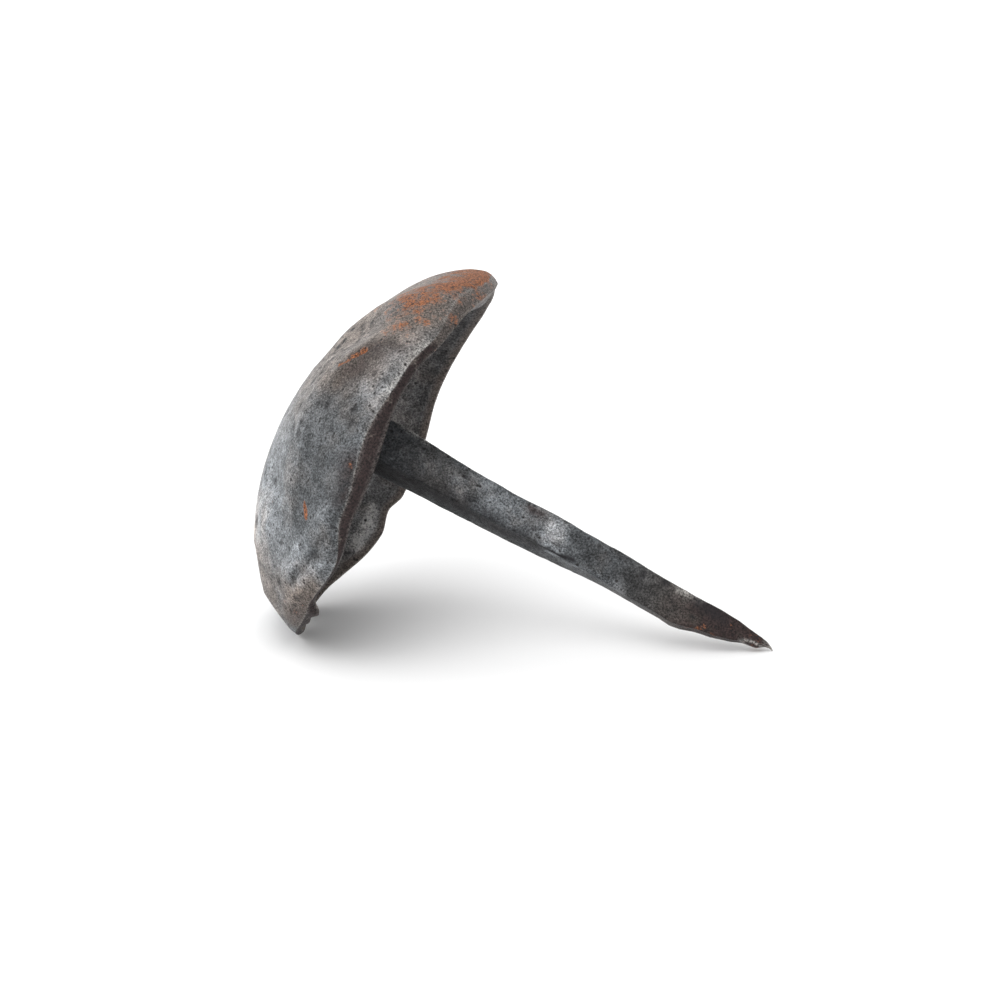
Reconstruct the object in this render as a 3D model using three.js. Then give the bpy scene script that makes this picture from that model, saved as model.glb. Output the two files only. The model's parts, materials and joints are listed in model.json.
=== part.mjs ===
// A hand-forged dome-head nail: a dished round head of hammered plate, a tapered square
// shank standing in its hollow, and the weld that joins the two at the root.
//
// Units are millimetres. The nail is shaped on its own axis: the rim of the head lies near
// z = 0, the crown is above it and the point hangs below. It is then laid down, resting on
// its rim and its point, with its origin at the bottom centre of its box.
import * as THREE from 'three';

// Head
const HEAD_RADIUS = 25.4;
const HEAD_HEIGHT = 14.6;
const PLATE = 1.55;
const CROWN_FLAT = 0.16; // how deep the struck crown is flattened
const CROWN_LEAN = 1.0; // how far the crown stands off the shank's axis
const LEAN_ANGLE = 199;
const SHOULDER = 1.9; // powers of the arch: 2 and 2 would be an ellipse
const FULLNESS = 1.8;
const LIP_WIDTH = 1.15; // the rim's edge slopes in and down from its outer arris
const LIP_DEPTH = 1.2;

// Shank
const BAR_HALF = 2.38; // half the side of the square bar it is drawn from
const SHANK_REACH = 52.3; // from the rim's level to the tip
const POINT_LENGTH = 14.5;
const CORNER = 0.1; // share of the half side that the hammered corners lose
const ROOT_TURN = -50.4; // degrees about the axis
const ROOT_SIZE = 1.17; // the root is upset: its size as a share of the bar's
const ROOT_BOW = 0.45; // how far the root stands off the axis
const THIN_ANGLE = 17.6; // the point is drawn thin, and lifted, in this direction

// Weld
const WELD_WIDTH = 2.3;
const WELD_HEIGHT = 2.4;
const GAP = 0.3; // left between pieces that touch

const HEAD_SEGMENTS = 72;
const OUTER_STEPS = 15;
const INNER_STEPS = 12;
const WELD_SEGMENTS = 32;
const SHANK_STEPS = 3; // sections from one station to the next

// Hammer blows: angle about the axis in degrees, distance from it, and depth.
const HAMMER_FLATS = [
  [-66, 23.4, 1.0],
  [-90, 23.2, 0.75],
  [-30, 19.0, 0.4],
  [-103, 16.0, 0.3],
  [-122, 21.5, 0.45],
  [-156, 20.5, 0.45],
  [-161, 24.3, 0.95],
  [172, 17.0, 0.35],
  [138, 20.5, 0.5],
  [101, 17.5, 0.4],
  [62, 20.5, 0.5],
  [24, 17.5, 0.3],
  [-8, 11.0, 0.2],
  [120, 9.0, 0.2],
];

// The wavy rim: angle in degrees and height of each crest, dip and shoulder.
const RIM_WAVE = [
  [-155, 0.3],
  [-128, -0.75],
  [-107, -2.0],
  [-92, -0.1],
  [-67, 1.75],
  [-48, 1.3],
  [-34, 0.3],
  [-19, 0.85],
  [1, -0.45],
  [30, 0.7],
  [82, 2.9],
  [110, 1.1],
  [118, 0.8],
  [124, 1.5],
  [132, 0.7],
  [163, 3.0],
];
// How much lower the lip's inner edge hangs, in the same way.
const LIP_WAVE = [
  [-165, -0.85],
  [-107, -1.1],
  [-93, 0.1],
  [-73, 1.1],
  [-53, -0.15],
  [-36, -0.25],
  [-17, 0.8],
  [2, 0],
  [150, 0],
];
// Swells of the rim's radius: angle in degrees, height, and half width in degrees.
const RIM_REACH = [
  [19, 0.4, 18],
  [166, 1.05, 7],
  [180, -0.9, 7],
  [-164, 0.15, 5],
];

// The shank below the rim: depth, share of the bar's size, turn in degrees and lift.
const SHANK = [
  [-HEAD_HEIGHT, ROOT_SIZE, 0, ROOT_BOW],
  [0, ROOT_SIZE, 0, ROOT_BOW],
  [4, 1.08, 0, 0.36],
  [9, 1.0, 0, 0.2],
  [15, 0.96, 0, 0.15],
  [21, 0.94, 0, 0.3],
  [25, 0.925, -7, 0.35],
  [30, 0.915, -12, 0.4],
  [35, 0.905, -14, 0.15],
  [40, 0.89, -14, 0],
  [SHANK_REACH, 0.89, -14, 0],
];

// The point: distance from the tip, share of the thickness and of the width, and lift.
const POINT = [
  [POINT_LENGTH, 1.0, 1.0, 0],
  [12.8, 1.04, 1.0, -0.04],
  [11.5, 0.99, 0.97, 0.03],
  [10.6, 0.925, 0.94, 0.17],
  [9.6, 0.865, 0.9, 0.33],
  [7.4, 0.79, 0.8, 0.48],
  [5.2, 0.615, 0.66, 0.72],
  [3.8, 0.45, 0.52, 0.86],
  [2.0, 0.34, 0.4, 0.88],
  [1.0, 0.15, 0.24, 1.1],
  [0.4, 0.07, 0.1, 1.0],
  [0, 0.03, 0.05, 0.8],
];

const radians = THREE.MathUtils.degToRad;
const lerp = THREE.MathUtils.lerp;

// A point on the arch of the head, from the crown (turn 0) to the rim (turn 1).
function archPoint(radius, height, turn) {
  const angle = (turn * Math.PI) / 2;
  const across = radius * Math.sin(angle) ** (2 / SHOULDER);
  const up = height * Math.cos(angle) ** (2 / FULLNESS);
  return new THREE.Vector2(across, turn === 1 ? 0 : up);
}

function archHeight(radius, height, across) {
  const share = Math.min(across / radius, 1);
  return height * (1 - share ** SHOULDER) ** (1 / FULLNESS);
}

// The sum of the swells that reach an angle.
function swell(swells, degrees) {
  let sum = 0;
  for (const [centre, height, width] of swells) {
    const away = THREE.MathUtils.euclideanModulo(degrees - centre + 180, 360) - 180;
    sum += height * Math.exp(-((away / width) ** 2));
  }
  return sum;
}

// The height of a wavy edge at an angle, with a smooth run from one turn to the next.
function wave(turns, degrees) {
  const ring = [...turns, [turns[0][0] + 360, turns[0][1]]];
  const place = turns[0][0] + THREE.MathUtils.euclideanModulo(degrees - turns[0][0], 360);
  const after = ring.findIndex(([angle]) => angle > place);
  const [start, from] = ring[after - 1];
  const [end, to] = ring[after];
  return lerp(from, to, THREE.MathUtils.smoothstep(place, start, end));
}

// The plane that a blow leaves: parallel to the skin where it lands, and deeper.
function blowPlane([degrees, across, depth]) {
  const near = archHeight(HEAD_RADIUS, HEAD_HEIGHT, across - 0.5);
  const far = archHeight(HEAD_RADIUS, HEAD_HEIGHT, across + 0.5);
  const angle = radians(degrees);
  const out = near - far;
  const normal = new THREE.Vector3(out * Math.cos(angle), out * Math.sin(angle), 1).normalize();
  const spot = new THREE.Vector3(across * Math.cos(angle), across * Math.sin(angle), (near + far) / 2);
  spot.addScaledVector(normal, -depth);
  return new THREE.Plane().setFromNormalAndCoplanarPoint(normal, spot);
}

// The head is one closed profile turned about the axis: down the inner skin, round the lip
// and up the outer skin. Each profile point knows how deep in the plate it lies.
function headProfile() {
  const profile = [];
  for (let step = 0; step <= INNER_STEPS; step += 1) {
    const spot = archPoint(HEAD_RADIUS - PLATE, HEAD_HEIGHT - PLATE, step / INNER_STEPS);
    profile.push({ spot, inset: PLATE, lip: 0 });
  }
  const lipRadius = HEAD_RADIUS - LIP_WIDTH;
  profile.push({ spot: new THREE.Vector2(lipRadius, -0.9 * LIP_DEPTH), inset: PLATE, lip: 0.9 });
  profile.push({ spot: new THREE.Vector2(lipRadius + 0.35, -LIP_DEPTH), inset: 0.8 * PLATE, lip: 1 });
  for (let step = OUTER_STEPS; step >= 0; step -= 1) {
    profile.push({ spot: archPoint(HEAD_RADIUS, HEAD_HEIGHT, step / OUTER_STEPS), inset: 0, lip: 0 });
  }
  return profile;
}

function hammerHead(point, inset, lip, planes) {
  for (const plane of planes) {
    const beyond = plane.distanceToPoint(point) + inset;
    if (beyond > 0) point.addScaledVector(plane.normal, -beyond);
  }
  const across = Math.hypot(point.x, point.y);
  const degrees = THREE.MathUtils.radToDeg(Math.atan2(point.y, point.x));
  const share = THREE.MathUtils.smoothstep(across, 0.35 * HEAD_RADIUS, HEAD_RADIUS);
  const stretch = 1 + (share * swell(RIM_REACH, degrees)) / HEAD_RADIUS;
  const lean = (CROWN_LEAN * point.z) / HEAD_HEIGHT;
  point.x = point.x * stretch + lean * Math.cos(radians(LEAN_ANGLE));
  point.y = point.y * stretch + lean * Math.sin(radians(LEAN_ANGLE));
  point.z += share * wave(RIM_WAVE, degrees) - lip * wave(LIP_WAVE, degrees);
}

function headGeometry() {
  const profile = headProfile();
  const geometry = new THREE.LatheGeometry(profile.map(({ spot }) => spot), HEAD_SEGMENTS);
  geometry.rotateX(Math.PI / 2);
  const crown = new THREE.Plane(new THREE.Vector3(0, 0, 1), CROWN_FLAT - HEAD_HEIGHT);
  const planes = [crown, ...HAMMER_FLATS.map(blowPlane)];
  const position = geometry.attributes.position;
  const point = new THREE.Vector3();
  for (let index = 0; index < position.count; index += 1) {
    const { inset, lip } = profile[index % profile.length];
    point.fromBufferAttribute(position, index);
    hammerHead(point, inset, lip, planes);
    position.setXYZ(index, point.x, point.y, point.z);
  }
  geometry.computeVertexNormals();
  return geometry;
}

// A square with its corners cut, of half side 1.
function sectionShape() {
  const shape = new THREE.Shape();
  const corners = [];
  for (let side = 0; side < 4; side += 1) {
    for (const along of [-1 + CORNER, 1 - CORNER]) {
      corners.push(new THREE.Vector2(1, along).rotateAround(new THREE.Vector2(), (side * Math.PI) / 2));
    }
  }
  return shape.setFromPoints(corners);
}

// The values of a list of stations at a place between two of them, or at its nearer end.
function between(stations, place) {
  const rising = stations[0][0] < stations[1][0] ? 1 : -1;
  const after = stations.findIndex(([station]) => rising * station >= rising * place);
  if (after <= 0) return stations.at(after).slice(1);
  const [start, ...from] = stations[after - 1];
  const [end, ...to] = stations[after];
  return from.map((value, index) => lerp(value, to[index], (place - start) / (end - start)));
}

// The levels at which the shank has a section, from its root down to its tip. Every station
// is a level, so each side is flat from one station to the next.
function shankLevels() {
  const root = HEAD_HEIGHT - PLATE - CROWN_FLAT - GAP;
  const stations = SHANK.map(([depth]) => -depth);
  const point = POINT.map(([distance]) => distance - SHANK_REACH);
  const body = stations.filter((level) => level < root && level > point[0]);
  const marks = [root, ...body, point[0]];
  const levels = [];
  for (let mark = 1; mark < marks.length; mark += 1) {
    for (let step = 0; step < SHANK_STEPS; step += 1) {
      levels.push(lerp(marks[mark - 1], marks[mark], step / SHANK_STEPS));
    }
  }
  return [...levels, ...point];
}

function shankGeometry() {
  const levels = shankLevels();
  const steps = levels.length - 1;
  const geometry = new THREE.ExtrudeGeometry(sectionShape(), { depth: steps, steps, bevelEnabled: false });
  const position = geometry.attributes.position;
  const origin = new THREE.Vector2();
  for (let index = 0; index < position.count; index += 1) {
    const level = levels[Math.round(position.getZ(index))];
    const [size, turn, bow] = between(SHANK, -level);
    const [thickness, width, lift] = between(POINT, level + SHANK_REACH);
    const corner = new THREE.Vector2(position.getX(index), position.getY(index));
    corner.multiplyScalar(BAR_HALF * size).rotateAround(origin, radians(ROOT_TURN + turn - THIN_ANGLE));
    corner.set(corner.x * thickness + lift, corner.y * width).rotateAround(origin, radians(THIN_ANGLE));
    position.setXYZ(index, corner.x + bow, corner.y, level);
  }
  return turnedOut(geometry);
}

// The extrusion runs down from the root, which turns its faces inwards: turn them back.
function turnedOut(geometry) {
  const position = geometry.attributes.position;
  const first = new THREE.Vector3();
  const last = new THREE.Vector3();
  for (let face = 0; face < position.count; face += 3) {
    first.fromBufferAttribute(position, face);
    last.fromBufferAttribute(position, face + 2);
    position.setXYZ(face, last.x, last.y, last.z);
    position.setXYZ(face + 2, first.x, first.y, first.z);
  }
  geometry.computeVertexNormals();
  return geometry;
}

// A lumpy fillet round the root, with a square hole that clears the shank.
function weldGeometry() {
  const hole = BAR_HALF * ROOT_SIZE + GAP;
  const roof = (across) =>
    archHeight(HEAD_RADIUS - PLATE, HEAD_HEIGHT - PLATE, across + CROWN_LEAN) - CROWN_FLAT - GAP;
  const profile = [
    [0, roof(hole)],
    [0, roof(hole) - WELD_HEIGHT],
    [0.35, roof(hole) - WELD_HEIGHT - 0.1],
    [0.45 * WELD_WIDTH, roof(hole) - 0.62 * WELD_HEIGHT],
    [0.95 * WELD_WIDTH, roof(hole + WELD_WIDTH) - 0.25],
    [0.9 * WELD_WIDTH, roof(hole + WELD_WIDTH)],
    [0, roof(hole)],
  ];
  const spots = profile.map(([out, level]) => new THREE.Vector2(hole + out, level));
  const geometry = new THREE.LatheGeometry(spots, WELD_SEGMENTS);
  geometry.rotateX(Math.PI / 2);
  const position = geometry.attributes.position;
  for (let index = 0; index < position.count; index += 1) {
    const angle = Math.atan2(position.getY(index), position.getX(index));
    const out = Math.hypot(position.getX(index), position.getY(index)) - hole;
    const turned = angle - radians(ROOT_TURN);
    const square = hole / Math.max(Math.abs(Math.cos(turned)), Math.abs(Math.sin(turned)));
    const edge = Math.min(square, hole * Math.SQRT2 * (1 - 0.3 * CORNER));
    const lump = out > 0.5 ? 0.12 * Math.sin(11 * angle) : 0;
    const across = edge + out + lump;
    position.setXY(index, across * Math.cos(angle) + ROOT_BOW, across * Math.sin(angle));
  }
  geometry.computeVertexNormals();
  return geometry;
}

function piece(name, geometry, color, roughness, metalness) {
  const material = new THREE.MeshStandardMaterial({ color, roughness, metalness });
  const mesh = new THREE.Mesh(geometry, material);
  mesh.name = name;
  return mesh;
}

// How low a shape reaches when the nail is laid with its axis at a tilt to the ground.
function lowest(geometry, tilt) {
  const position = geometry.attributes.position;
  let low = Infinity;
  for (let index = 0; index < position.count; index += 1) {
    const height = position.getZ(index) * Math.sin(tilt) + position.getX(index) * Math.cos(tilt);
    low = Math.min(low, height);
  }
  return low;
}

// The tilt at which the rim and the point touch the ground together.
function restingTilt(head, shank) {
  let flat = 0;
  let steep = Math.PI / 3;
  while (steep - flat > 1e-6) {
    const tilt = (flat + steep) / 2;
    if (lowest(head, tilt) > lowest(shank, tilt)) steep = tilt;
    else flat = tilt;
  }
  return flat;
}

const head = headGeometry();
const shank = shankGeometry();

const nail = new THREE.Group();
nail.add(piece('dome_head', head, 0x6b6d70, 0.62, 0.85));
nail.add(piece('shank', shank, 0x4a4a4d, 0.6, 0.85));
nail.add(piece('weld_bead', weldGeometry(), 0x3a3836, 0.7, 0.8));
nail.rotation.y = restingTilt(head, shank) - Math.PI / 2;
nail.updateMatrixWorld(true);
const box = new THREE.Box3().setFromObject(nail, true);
const middle = box.getCenter(new THREE.Vector3());
nail.position.set(-middle.x, -middle.y, -box.min.z);

const part = new THREE.Group();
part.add(nail);

export default part;
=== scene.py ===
"""A hand-forged dome-head nail, lying on its rim and its point.

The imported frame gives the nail's place and tilt. Its forged surfaces are built again here at
full detail: hammer facets, creases, pits, a torn point and a lumpy weld. Lengths are
millimetres in the nail's own frame, whose +Z runs up the shank to the crown and whose rim lies
near z = 0, until lay_down() turns them into metres in the row's frame.
"""
import itertools
import json
import math

import bpy
import numpy as np
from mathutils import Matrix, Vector


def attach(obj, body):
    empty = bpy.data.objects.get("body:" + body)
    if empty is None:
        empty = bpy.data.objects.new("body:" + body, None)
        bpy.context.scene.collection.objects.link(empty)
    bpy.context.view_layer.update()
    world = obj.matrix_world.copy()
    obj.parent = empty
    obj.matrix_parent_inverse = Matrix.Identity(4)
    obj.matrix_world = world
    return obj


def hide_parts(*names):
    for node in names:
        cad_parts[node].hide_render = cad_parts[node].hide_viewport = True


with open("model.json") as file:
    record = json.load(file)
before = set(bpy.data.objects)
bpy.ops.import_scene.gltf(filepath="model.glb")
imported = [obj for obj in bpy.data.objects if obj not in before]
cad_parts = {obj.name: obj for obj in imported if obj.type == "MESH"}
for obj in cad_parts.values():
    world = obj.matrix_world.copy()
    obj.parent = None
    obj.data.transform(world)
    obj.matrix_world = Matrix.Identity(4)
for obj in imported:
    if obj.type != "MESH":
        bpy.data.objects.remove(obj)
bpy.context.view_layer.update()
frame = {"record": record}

METRE = 0.001  # one millimetre, in metres

# Head
HEAD_RADIUS = 25.4
HEAD_HEIGHT = 14.6
PLATE = 1.55  # thickness of the hammered plate
CROWN_FLAT = 0.16  # how much of the crown is struck flat
CROWN_LEAN = 1.0  # how far the crown stands off the axis
LEAN_ANGLE = math.radians(199)  # and toward which side
SHOULDER = 1.9  # the arch's power across: a higher one is flatter at the crown
FULLNESS = 1.8  # the arch's power upward: a higher one is steeper at the rim
LIP_WIDTH = 1.15  # how far in and down the lip slopes
LIP_DEPTH = 1.2
LIP_ROUND = 0.35  # width of the lip's rounded inner edge
EDGE_WEAR = 0.2  # how much of the rim's outer edge is worn away
EDGE_ROUND = 0.55  # how far that wear reaches

# Shank and weld
BAR_HALF = 2.38  # half the side of the square bar
SHANK_REACH = 52.3  # from the level of the rim to the tip
POINT_LENGTH = 14.5
SQUARENESS = 13.5  # power of the bar's rounded square section
ROOT_TURN = -50.4  # degrees that the bar is turned at its root
ROOT_SIZE = 1.17  # share of the bar's size that the root has
ROOT_BOW = 0.45  # how far the root stands off the axis
THIN_ANGLE = 17.6  # degrees, the side from which the point is hammered thin
WELD_WIDTH = 2.3
WELD_HEIGHT = 2.4
GAP = 0.3  # room between the weld and the pieces that it joins

# Hammer blows on the head: angle in degrees, distance from the axis, and depth.
HAMMER_FLATS = [
    (-66, 23.4, 1.0),
    (-90, 23.2, 0.75),
    (-30, 19.0, 0.4),
    (-103, 16.0, 0.3),
    (-122, 21.5, 0.45),
    (-156, 20.5, 0.45),
    (-161, 24.3, 0.95),
    (172, 17.0, 0.35),
    (138, 20.5, 0.5),
    (101, 17.5, 0.4),
    (62, 20.5, 0.5),
    (24, 17.5, 0.3),
    (-8, 11.0, 0.2),
    (120, 9.0, 0.2),
]
FLAT_BLEND = 0.02  # how softly one flat runs into the next
WAVE_START = 0.35  # share of the radius from which the head waves with its rim

# The wavy rim: angle in degrees and height of each crest, dip and shoulder.
RIM_WAVE = [
    (-155, 0.3),
    (-128, -0.75),
    (-107, -2.0),
    (-92, -0.1),
    (-67, 1.75),
    (-48, 1.3),
    (-34, 0.3),
    (-19, 0.85),
    (1, -0.45),
    (30, 0.7),
    (82, 2.9),
    (110, 1.1),
    (118, 0.8),
    (124, 1.5),
    (132, 0.7),
    (163, 3.0),
]
# How much lower the lip's inner edge hangs, in the same way.
LIP_WAVE = [
    (-165, -0.85),
    (-107, -1.1),
    (-93, 0.1),
    (-73, 1.1),
    (-53, -0.15),
    (-36, -0.25),
    (-17, 0.8),
    (2, 0),
    (150, 0),
]
# Swells of the rim's radius: angle in degrees, height, and half width in degrees.
RIM_REACH = [
    (19, 0.4, 18),
    (166, 1.05, 7),
    (180, -0.9, 7),
    (-164, 0.15, 5),
]

# Burrs hanging from the lip: angle in degrees, height, and half width in degrees.
BURRS = [
    (-131, 1.1, 3.2),
    (-139, 0.5, 4),
]

# The shank: depth below the rim, share of the bar's size, turn in degrees, and lift.
SHANK = [
    (-HEAD_HEIGHT, ROOT_SIZE, 0, ROOT_BOW),
    (0, ROOT_SIZE, 0, ROOT_BOW),
    (4, 1.08, 0, 0.36),
    (9, 1.0, 0, 0.2),
    (15, 0.96, 0, 0.15),
    (21, 0.94, 0, 0.3),
    (25, 0.925, -7, 0.35),
    (30, 0.915, -12, 0.4),
    (35, 0.905, -14, 0.15),
    (40, 0.89, -14, 0),
    (SHANK_REACH, 0.89, -14, 0),
]
# The point: distance from the tip, share of the thickness and of the width, and lift.
POINT = [
    (0, 0.03, 0.05, 0.8),
    (0.4, 0.07, 0.1, 1.0),
    (1.0, 0.15, 0.24, 1.1),
    (2.0, 0.34, 0.4, 0.88),
    (3.8, 0.45, 0.52, 0.86),
    (5.2, 0.615, 0.66, 0.72),
    (7.4, 0.79, 0.8, 0.48),
    (9.6, 0.865, 0.9, 0.33),
    (10.6, 0.925, 0.94, 0.17),
    (11.5, 0.99, 0.97, 0.03),
    (12.8, 1.04, 1.0, -0.04),
    (POINT_LENGTH, 1.0, 1.0, 0),
]


# ---------------------------------------------------------------- shaping tools

NOISE_CELLS = 32  # cells along each side of the noise, before it repeats
LAYER_SHRINK = 2.1  # how many times finer each further layer of noise is
LAYER_FADE = 0.5  # and what share of the strength it keeps


def eased(share):
    """A share from 0 to 1, with a smooth start and end."""
    return share * share * (3 - 2 * share)


def bell(distance):
    """1 at no distance, falling off smoothly to both sides."""
    return np.exp(-(distance**2))


def noise(points, size, seed):
    """Smooth noise from -1 to 1 whose lumps are about size across."""
    table = np.random.default_rng(seed).uniform(-1, 1, (NOISE_CELLS, NOISE_CELLS, NOISE_CELLS))
    place = np.asarray(points) / size
    cell = np.floor(place).astype(int)
    share = eased(place - cell)
    total = np.zeros(place.shape[:-1])
    for corner in itertools.product((0, 1), repeat=3):
        weight = np.prod(np.where(corner, share, 1 - share), axis=-1)
        x, y, z = np.moveaxis((cell + corner) % NOISE_CELLS, -1, 0)
        total += weight * table[x, y, z]
    return total


def layered_noise(points, size, seed, layers=3):
    """Noise with finer and weaker layers on top."""
    total = np.zeros(np.asarray(points).shape[:-1])
    for layer in range(layers):
        total += LAYER_FADE**layer * noise(points, size / LAYER_SHRINK**layer, seed + layer)
    return total


def rough(points, skin):
    """Height of a rough skin, from the height, size, seed and layers of each of its noises."""
    return sum(height * layered_noise(points, *lumps) for height, *lumps in skin)


def swell(swells, degrees):
    """The sum of the swells that reach an angle."""
    total = np.zeros_like(degrees)
    for centre, height, width in swells:
        away = (degrees - centre + 180) % 360 - 180
        total += height * bell(away / width)
    return total


def wave(turns, degrees):
    """Height of a wavy edge at each angle, with a smooth run from one turn to the next."""
    angles, heights = np.array(turns + [(turns[0][0] + 360, turns[0][1])], float).T
    place = angles[0] + (degrees - angles[0]) % 360
    after = np.clip(np.searchsorted(angles, place, side="right"), 1, len(turns))
    share = eased((place - angles[after - 1]) / (angles[after] - angles[after - 1]))
    return (1 - share) * heights[after - 1] + share * heights[after]


def line_distance(points, line):
    """How far each point lies from a line of points."""
    nearest = np.full(points.shape[:-1], np.inf)
    for start, end in zip(line, line[1:]):
        along = end - start
        share = np.clip((points - start) @ along / (along @ along), 0, 1)
        gap = points - start - share[..., None] * along
        nearest = np.minimum(nearest, np.linalg.norm(gap, axis=-1))
    return nearest


def stroke(points, line, width):
    """1 on the line, falling off smoothly to both sides."""
    return bell(line_distance(points, line) / width)


def patch(points, line, reach, edge):
    """1 within reach of the line, falling to 0 across an edge."""
    return eased(np.clip((reach + edge - line_distance(points, line)) / (2 * edge), 0, 1))


def toned(points, marks, placed):
    """How many times lighter than the plain scale each point is, from a list of marks."""
    change = np.zeros(points.shape[:-1])
    for line, reach, edge, step in marks:
        change += step * patch(points, placed(*line), reach, edge)
    return np.exp(change)


def grid_normals(grid, closed_rows):
    """Unit normals of a grid of points that closes on itself along its columns."""
    across = np.roll(grid, -1, axis=1) - np.roll(grid, 1, axis=1)
    if closed_rows:
        along = np.roll(grid, -1, axis=0) - np.roll(grid, 1, axis=0)
    else:
        along = np.gradient(grid, axis=0)
    normal = np.cross(along, across)
    return normal / np.maximum(np.linalg.norm(normal, axis=-1, keepdims=True), 1e-9)


# ---------------------------------------------------------------- head

def arch(radius, height, turn):
    """Distance from the axis and height of the head's arch, from the crown to the rim."""
    angle = np.asarray(turn) * math.pi / 2
    across = radius * np.sin(angle) ** (2 / SHOULDER)
    up = height * np.maximum(np.cos(angle), 0) ** (2 / FULLNESS)
    return across, up


def arch_height(radius, height, across):
    """Height of the arch at a distance from the axis."""
    share = np.minimum(across / radius, 1)
    return height * (1 - share**SHOULDER) ** (1 / FULLNESS)


def on_head(*places, inset=0.0):
    """Places on the plain arch, each given as its angle in degrees and its turn to the rim."""
    spots = []
    for degrees, turn in places:
        across, up = arch(HEAD_RADIUS - inset, HEAD_HEIGHT - inset, turn)
        angle = math.radians(degrees)
        spots.append((across * math.cos(angle), across * math.sin(angle), up))
    return np.array(spots)


def in_hollow(*places):
    """Places on the inside of the plate, given in the same way."""
    return on_head(*places, inset=PLATE)


def blow_planes():
    """Normal and a point of the plane that each blow leaves, the struck crown's first."""
    planes = [(np.array((0.0, 0.0, 1.0)), np.array((0.0, 0.0, HEAD_HEIGHT - CROWN_FLAT)))]
    reach = 0.5  # how far to both sides the arch's slope is measured
    for degrees, across, depth in HAMMER_FLATS:
        near = arch_height(HEAD_RADIUS, HEAD_HEIGHT, across - reach)
        far = arch_height(HEAD_RADIUS, HEAD_HEIGHT, across + reach)
        angle = math.radians(degrees)
        slope = (near - far) / (2 * reach)
        normal = np.array((slope * math.cos(angle), slope * math.sin(angle), 1))
        normal /= np.linalg.norm(normal)
        spot = np.array((across * math.cos(angle), across * math.sin(angle), (near + far) / 2))
        planes.append((normal, spot - normal * depth))
    return planes


def head_profile(outer_steps=126, inner_steps=58):
    """Rows of the head from the inner crown, round the lip, to the outer crown.

    Each row has its distance from the axis, height, depth in the plate, share of the lip's
    drop, turn along the arch, and the side that it is on.
    """
    rows = []
    for turn in np.linspace(0, 1, inner_steps, endpoint=False):
        across, up = arch(HEAD_RADIUS - PLATE, HEAD_HEIGHT - PLATE, turn)
        rows.append((across, up, PLATE, 0, turn, "inside"))
    lip_radius = HEAD_RADIUS - LIP_WIDTH
    bend = 0.9  # share of the lip's drop at which its inner edge turns
    corners = [
        (HEAD_RADIUS - PLATE, 0, PLATE, 0),
        (lip_radius, -bend * LIP_DEPTH, PLATE, bend),
        (lip_radius + LIP_ROUND, -LIP_DEPTH, 0.8 * PLATE, 1),
        (HEAD_RADIUS, 0, 0, 0),
    ]
    stretches = [(5, "inside"), (2, "inside"), (8, "lip")]  # rows from corner to corner, and side
    for start, end, (steps, side) in zip(corners, corners[1:], stretches):
        for share in np.linspace(0, 1, steps, endpoint=False):
            mixed = (1 - share) * np.array(start) + share * np.array(end)
            rows.append((*mixed, 1, side))
    for turn in np.linspace(1, 0, outer_steps):
        across, up = arch(HEAD_RADIUS, HEAD_HEIGHT, turn)
        rows.append((across, up, 0, 0, turn, "outside"))
    return rows


def hammer_head(grid, inset, lip, degrees):
    """Flattens the turned grid where it was struck, and waves its rim."""
    for normal, spot in blow_planes():
        beyond = (grid - spot) @ normal + inset
        soft = FLAT_BLEND * np.logaddexp(0, beyond / FLAT_BLEND)
        grid = grid - soft[..., None] * normal
    across = np.hypot(grid[..., 0], grid[..., 1])
    share = eased(np.clip((across / HEAD_RADIUS - WAVE_START) / (1 - WAVE_START), 0, 1))
    stretch = 1 + share * swell(RIM_REACH, degrees) / HEAD_RADIUS
    lean = CROWN_LEAN * grid[..., 2] / HEAD_HEIGHT
    x = grid[..., 0] * stretch + lean * math.cos(LEAN_ANGLE)
    y = grid[..., 1] * stretch + lean * math.sin(LEAN_ANGLE)
    rise = share * wave(RIM_WAVE, degrees) - lip * (wave(LIP_WAVE, degrees) + swell(BURRS, degrees))
    return np.stack([x, y, grid[..., 2] + rise], axis=-1)


def warp(points, amount, size, seed):
    """Moves points about, so that what is drawn on them gets ragged edges."""
    shifts = [layered_noise(points, size, seed + offset) for offset in (0, 10, 20)]
    return points + amount * np.stack(shifts, -1)


def head_relief(plain, side, lip):
    """Height of the fine forging marks, above the hammered surface."""
    outside = side == "outside"
    inside = side == "inside"
    ragged = warp(plain, amount=0.3, size=2.5, seed=11)
    relief = rough(plain, HEAD_SKIN)
    for line, height, width in HEAD_FOLDS:
        relief += np.where(outside, height * stroke(ragged, on_head(*line), width), 0)
    # The rim's outer edge is worn round.
    across = np.hypot(plain[..., 0], plain[..., 1])
    edge = np.hypot(across - HEAD_RADIUS, plain[..., 2])
    relief -= np.where(inside, 0, EDGE_WEAR * bell(edge / EDGE_ROUND))
    dents = rough(plain, HOLLOW_SKIN)
    for line, height, width in HOLLOW_FOLDS:
        dents += height * stroke(ragged, in_hollow(*line), width)
    return relief + np.where(inside, dents * (1 - lip), 0)


# Height, size, seed and layers of the noises that roughen the head's two skins.
HEAD_SKIN = [(0.045, 4.0, 21, 2), (0.022, 1.4, 31, 2)]
HOLLOW_SKIN = [(0.16, 5.0, 41, 2)]
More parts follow.
